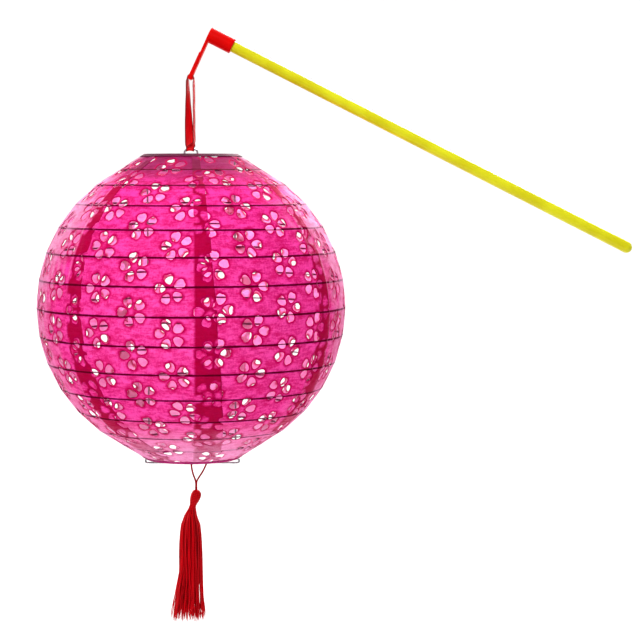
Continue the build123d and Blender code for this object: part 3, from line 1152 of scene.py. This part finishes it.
@dataclass
class Ribbon:
    """The satin loop between the cap's bar and the expander's eye.

    It lies over the bar with its width along the bar. The left leg turns slowly to the front all
    the way down, and the right leg stays almost edge on until just above the eye.
    """

    width: float = 5.7 * MM
    thickness: float = 0.42 * MM
    bight_width: float = 5.0 * MM
    drop: float = 46.1 * MM
    bar_turn: float = 2.0 * MM
    wire_turn: float = 1.0 * MM
    left_leg_x: float = -0.95 * MM
    right_leg_x: float = 2.15 * MM
    leg_steps: int = 70
    turn_steps: int = 14
    columns: int = 13

    def centre_of_bar(self) -> Vector:
        """The bar's middle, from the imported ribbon's box."""
        low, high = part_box("hanging_ribbon")
        return Vector(((low.x + high.x) / 2, 0.0, high.z - self.bar_turn - 0.25 * MM))

    def path(self) -> tuple[np.ndarray, np.ndarray, np.ndarray]:
        """The loop's centre line, its turn about the plumb line and its width, from the bar's top.

        Returns:
            Places relative to the bar's middle, angles (0 is along Y, a quarter turn along X),
            and widths.
        """
        share = np.linspace(0, 1, self.leg_steps)
        height = -share * self.drop
        into = 0.4 * smooth_step(share, 0.90, 1.0)
        left_x = -self.bar_turn + (self.left_leg_x + self.bar_turn) * share
        left_x = left_x * (1 - into)
        bight_x = left_x[-1]
        left_y = self.wire_turn * smooth_step(share, 0.5, 1.0) + 0.25 * MM * np.sin(3 * np.pi * share)
        right_x = self.bar_turn + (self.right_leg_x - self.bar_turn) * share
        meet = smooth_step(share, 0.88, 1.0)
        right_x = right_x * (1 - meet) + bight_x * meet
        right_y = -self.wire_turn * smooth_step(share, 0.80, 1.0)
        left_turn = np.pi / 2 * np.clip(0.15 * smooth_step(share, 0, 0.05) + 0.85 * share**1.35, 0, 1)
        right_turn = 0.16 * smooth_step(share, 0, 0.1) + (np.pi / 2 - 0.16) * smooth_step(share, 0.9, 0.99)
        widths = self.width + (self.bight_width - self.width) * smooth_step(share, 0.93, 1.0)
        half_turn = np.linspace(0, np.pi, self.turn_steps + 2)[1:-1]
        across, away, none = np.cos(half_turn), np.sin(half_turn), 0 * half_turn
        left = np.stack((left_x, left_y, height), axis=1)
        right = np.stack((right_x, right_y, height), axis=1)[::-1]
        bar = np.stack((self.bar_turn * across, none, self.bar_turn * away), axis=1)
        below = -self.drop - self.wire_turn * away
        bight = np.stack((none + bight_x, self.wire_turn * across, below), axis=1)
        places = np.concatenate((bar, left, bight, right))
        turns = np.concatenate((none, left_turn, none + np.pi / 2, right_turn[::-1]))
        widths = np.concatenate((none + self.width, widths, none + self.bight_width, widths[::-1]))
        return places, turns, widths

    def build(self) -> None:
        """Builds the loop as one closed strip with a cupped section, and dresses it."""
        places, turns, widths = self.path()
        across = np.linspace(-0.5, 0.5, self.columns)
        way = np.stack((np.sin(turns), np.cos(turns), 0 * turns), axis=1)
        along = unit(np.roll(places, -1, axis=0) - np.roll(places, 1, axis=0))
        normal = unit(np.cross(way, along))
        bunched = (self.width - widths) / (self.width - self.bight_width)
        cup = (0.10 + 0.55 * bunched[:, None]) * MM * (4 * across**2 - 1 / 3)
        run = run_along(places)
        ripple = 0.05 * MM * np.sin(run[:, None] / (2.1 * MM) + 7 * across)
        points = (
            np.array(self.centre_of_bar())
            + places[:, None]
            + way[:, None] * (across[:, None] * widths[:, None, None])
            + normal[:, None] * (cup + ripple)[..., None]
        )
        faces = grid_faces(len(places), self.columns, wrap_rows=True)
        uv = np.stack(np.broadcast_arrays(across * self.width, run[:, None]), axis=-1)
        piece = make_mesh("satin_ribbon_loop", points.reshape(-1, 3), [faces], uv.reshape(-1, 2))
        thicken(piece, self.thickness, 0.0)
        satin = SatinTape("satin_ribbon", self.width / 2).build()
        declare(piece, "ribbon", "hanging_ribbon", "satin_ribbon", satin)


# ---------------------------------------------------------------- tassel


@dataclass
class Tassel:
    """The tassel: a looped cord, a head of folded strands, a wound neck and a loose skirt."""

    cord_diameter: float = 1.2 * MM
    cord_pitch: float = 2.6 * MM
    top_drop: float = 18.2 * MM
    middle_x: float = 2.4 * MM
    length: float = 85.4 * MM
    thread: float = 0.27 * MM
    thread_end: float = 0.03 * MM
    skirt_strands: int = 260
    head_strands: int = 64
    neck_drop: float = 11.6 * MM
    neck_radius: float = 1.9 * MM
    lean: float = -3.7 * MM
    strand_steps: int = 13
    head_steps: int = 31
    seed: int = 5

    def __post_init__(self) -> None:
        """Reads the bottom wire's middle from the frame."""
        low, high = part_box("expander_wire")
        wire_radius = 0.6 * MM
        self.bar = np.array(((low.x + high.x) / 2, 0.0, low.z + wire_radius))
        self.top = self.bar - (0.0, 0.0, self.top_drop)

    def cord_route(self) -> list[tuple[float, float, float]]:
        """The cord's route in millimetres from the bottom wire's middle: up, over the wire and down."""
        return [
            (2.1, 0.4, -17.9),
            (2.3, 0.4, -14.6),
            (2.0, 0, -11.6),
            (-0.1, -0.7, -6.2),
            (-1.0, -1.6, 1.5),
            (10.2, 1.6, 1.5),
            (6.8, 0.7, -6.0),
            (2.8, 0, -11.6),
            (2.5, -0.4, -14.6),
            (2.7, -0.4, -17.9),
        ]

    def build_cord(self) -> None:
        """Builds the cord: a tube along the route's smooth curve, whose two round lobes wind about it."""
        route = np.array(self.cord_route()) * MM + self.bar
        curve = bpy.data.curves.new("cord_route", "CURVE")
        curve.dimensions = "3D"
        curve.resolution_u = 48
        spline = curve.splines.new("NURBS")
        spline.points.add(len(route) - 1)
        for point, place in zip(spline.points, route):
            point.co = (*place, 1.0)
        spline.order_u = 3
        spline.use_endpoint_u = True
        holder = add_object("cord_route", curve)
        line = bpy.data.meshes.new_from_object(holder)
        path = np.array([vertex.co for vertex in line.vertices])
        bpy.data.objects.remove(holder)
        bpy.data.curves.remove(curve)
        bpy.data.meshes.remove(line)
        run = run_along(path)
        sides = 20
        turn = np.linspace(0, 2 * np.pi, sides, endpoint=False)
        wound = turn - 2 * np.pi * run[:, None] / self.cord_pitch
        lobes = 0.84 + 0.16 * np.abs(np.cos(wound)) ** 0.8
        rounded = np.minimum(1.0, np.sqrt(np.minimum(run, run[-1] - run) / (0.2 * MM) + 0.02))
        radii = self.cord_diameter / 2 * lobes * rounded[:, None]
        piece = make_mesh("twisted_cord_loop", *sweep_tubes(path[None], radii[None], sides, 0.05))
        thread = SilkThread("cord_thread", 0.7 * MM, rgb(0.20, 0.0, 0.002), rgb(0.50, 0.0, 0.006)).build()
        declare(piece, "cord", "tassel_cord", "tassel_thread", thread)

    def middle(self, depth: np.ndarray) -> np.ndarray:
        """The tassel's middle line at depths under its top: it leans to the left below the head."""
        shift = self.middle_x + self.lean * smooth_step(depth, 1 * MM, 17 * MM)
        sway = -1.7 * MM * smooth_step(depth, 50 * MM, 84 * MM)
        return self.top + np.stack((shift + sway, 0 * depth, -depth), axis=-1)

    def skirt_radius(self, depth: np.ndarray) -> np.ndarray:
        """The skirt's outer radius at depths under the tassel's top."""
        depths = np.array((11.6, 15.0, 19.0, 24.0, 36.0, 54.0, 66.0, 76.0, 84.0)) * MM
        radii = np.array((1.8, 3.3, 5.2, 6.6, 7.4, 7.8, 9.2, 10.6, 12.0)) * MM
        return np.interp(depth, depths, radii)

    def skirt(self) -> tuple[np.ndarray, np.ndarray]:
        """The paths and radii of the skirt's strands.

        A strand keeps its share of the skirt's radius and its angle, and wanders a little about
        both. Strands are of uneven length, and those near the outside are the most.
        """
        rng = np.random.default_rng(self.seed)
        count = self.skirt_strands
        share = np.sqrt(rng.uniform(0.08, 1, count))[:, None]
        angle = rng.uniform(0, 2 * np.pi, count)[:, None]
        reach = self.length + 1.4 * MM - np.abs(rng.normal(0, 1.7 * MM, count))[:, None]
        t = np.linspace(0, 1, self.strand_steps)
        depth = self.neck_drop - 1.5 * MM + t * (reach - self.neck_drop + 1.5 * MM)
        sweep = rng.normal(0, 0.35, (count, 1)) * t**1.5
        wave = rng.uniform(0, 2 * np.pi, (count, 1)) + t * rng.uniform(6, 14, (count, 1))
        loose = 0.35 * MM * t * np.sin(wave)
        radius = self.skirt_radius(depth) * share + loose
        theta = angle + sweep + 0.12 * np.sin(wave * 0.7) * t
        radii = np.full(depth.shape, self.thread) * (1 - 0.25 * t)
        radii[:, (0, -1)] = self.thread_end
        return self.middle(depth) + around(radius, theta), radii

    def head(self) -> tuple[np.ndarray, np.ndarray]:
        """The paths and radii of the head's strands, folded over the cord from neck to neck.

        A strand is a half oval in an upright plane, bulging to the head's radius and gathered
        in again at the neck.
        """
        rng = np.random.default_rng(self.seed + 1)
        count = self.head_strands
        angle = (np.arange(count) / count * np.pi + rng.uniform(-0.02, 0.02, count))[:, None]
        t = np.linspace(-1, 1, self.head_steps)
        depths = np.array((-0.5, 0.3, 2.0, 3.6, 6.5, 9.5, 12.6)) * MM
        bulge = np.array((0.0, 1.9, 3.0, 3.35, 3.0, 2.05, 1.75)) * MM
        depth = -0.5 * MM + 13.1 * MM * np.abs(t) ** 1.7
        radius = np.interp(depth, depths, bulge) * np.sign(t) * rng.uniform(0.93, 1.0, (count, 1))
        radii = np.full(radius.shape, self.thread * 0.9)
        radii[:, (0, -1)] = self.thread_end
        return self.middle(depth) + around(radius, angle), radii

    def winding(self) -> tuple[np.ndarray, np.ndarray]:
        """The path and radius of the thread wound round the neck: a close helix."""
        turns, steps = 6, 180
        t = np.linspace(0, 1, steps)
        depth = self.neck_drop - 1.05 * MM + 2.1 * MM * t
        angle = 2 * np.pi * turns * t
        radius = self.neck_radius + 0.28 * MM
        radii = np.full((1, steps), 0.2 * MM)
        radii[:, (0, -1)] = self.thread_end
        return (self.middle(depth) + around(radius, angle))[None], radii

    def build(self) -> None:
        """Builds and dresses the head, the winding and the skirt."""
        thread = SilkThread("tassel_thread", 1.1 * MM).build()
        for name, (paths, radii), sides, node in (
            ("tassel_skirt_strands", self.skirt(), 4, "tassel_strands"),
            ("tassel_head_strands", self.head(), 6, "tassel_strands"),
            ("tassel_neck_winding", self.winding(), 8, "tassel_tie"),
        ):
            piece = make_mesh(name, *sweep_tubes(paths, radii, sides))
            declare(piece, "tassel", node, "tassel_thread", thread)


# ---------------------------------------------------------------- studio


@dataclass(frozen=True)
class Backdrop(Finish):
    """Plain matt paint."""

    pale: Colour

    def surface(self, sheet: NodeSheet) -> Socket:
        """The paint's shader."""
        return sheet.principled({"Base Color": self.pale, "Roughness": 0.9})


@dataclass
class Studio:
    """The camera, the pale sweep behind the lantern, and soft light."""

    eye: tuple[float, float, float] = (-0.1488, -1.30, 0.0224)
    tilt: float = np.radians(85.81)
    focal_length: float = 112.6
    floor_drop: float = 0.6
    sweep_back: float = 1.6
    sweep_radius: float = 0.6
    sweep_half_width: float = 4.0
    pale: Colour = rgb(0.56, 0.56, 0.56)

    def build_camera(self) -> None:
        """Places the camera at the eye, looking along +Y and a little down."""
        camera = bpy.data.cameras.new("camera")
        camera.lens = self.focal_length
        camera.sensor_width = 36.0
        holder = add_object("camera", camera)
        holder.location = self.eye
        holder.rotation_euler = Euler((self.tilt, 0.0, 0.0))
        bpy.context.scene.camera = holder

    def build_sweep(self) -> None:
        """Builds a floor below the tassel that curves up into a plain wall."""
        floor = cad_box[0][2] - self.floor_drop
        turn = np.linspace(0, np.pi / 2, 13)
        y = np.concatenate(([-3.0, 0.0], self.sweep_back + self.sweep_radius * np.sin(turn)))
        z = np.concatenate(([0.0, 0.0], self.sweep_radius * (1 - np.cos(turn))))
        y, z = np.append(y, y[-1]), np.append(z, 3.5)
        x = np.array((-self.sweep_half_width, self.sweep_half_width))
        points = np.stack(np.broadcast_arrays(x[None], y[:, None], floor + z[:, None]), axis=-1)
        faces = grid_faces(len(y), 2)
        sweep = make_mesh("sweep", points.reshape(-1, 3), [faces])
        dress(sweep, Backdrop("sweep", self.pale).build())

    def build_light(self) -> None:
        """Adds a white world, three soft lamps round the lantern, and two that light the wall."""
        world = bpy.data.worlds.new("studio")
        world.use_nodes = True
        background = world.node_tree.nodes["Background"]
        background.inputs["Color"].default_value = rgb(1.0, 1.0, 1.0)
        background.inputs["Strength"].default_value = 0.4
        bpy.context.scene.world = world
        lantern, wall = Vector((-0.2, 0.0, -0.05)), Vector((-0.1, 2.2, -0.1))
        for name, place, target, size, power in (
            ("key", (-0.75, -1.7, 1.2), lantern, 1.2, 36.0),
            ("overhead", (-0.1, 0.1, 1.7), lantern, 1.4, 16.0),
            ("behind", (0.0, 1.4, 0.95), lantern, 1.2, 110.0),
            ("wall_left", (-1.5, 0.9, 0.2), wall, 1.0, 23.0),
            ("wall_right", (1.3, 0.9, 0.2), wall, 1.0, 23.0),
        ):
            lamp = bpy.data.lights.new(name, "AREA")
            lamp.size = size
            lamp.energy = power
            holder = add_object(name, lamp)
            holder.location = place
            holder.rotation_euler = (target - Vector(place)).to_track_quat("-Z", "Y").to_euler()

    def build(self) -> None:
        """Builds the whole studio, and shows colours as they are."""
        self.build_camera()
        self.build_sweep()
        self.build_light()
        bpy.context.scene.view_settings.view_transform = "Standard"
        log.info("studio built")


def main() -> None:
    """Builds the studio and every piece of the lantern in order."""
    logging.basicConfig(level=logging.INFO, format="%(name)s: %(message)s")
    Studio().build()
    tassel = Tassel()
    tassel.build_cord()
    shade = Shade()
    shade.dress_wires()
    shade.dress_gores()
    shade.dress_bindings()
    Carrier().build()
    Ribbon().build()
    tassel.build()


if __name__ == "__main__":
    main()
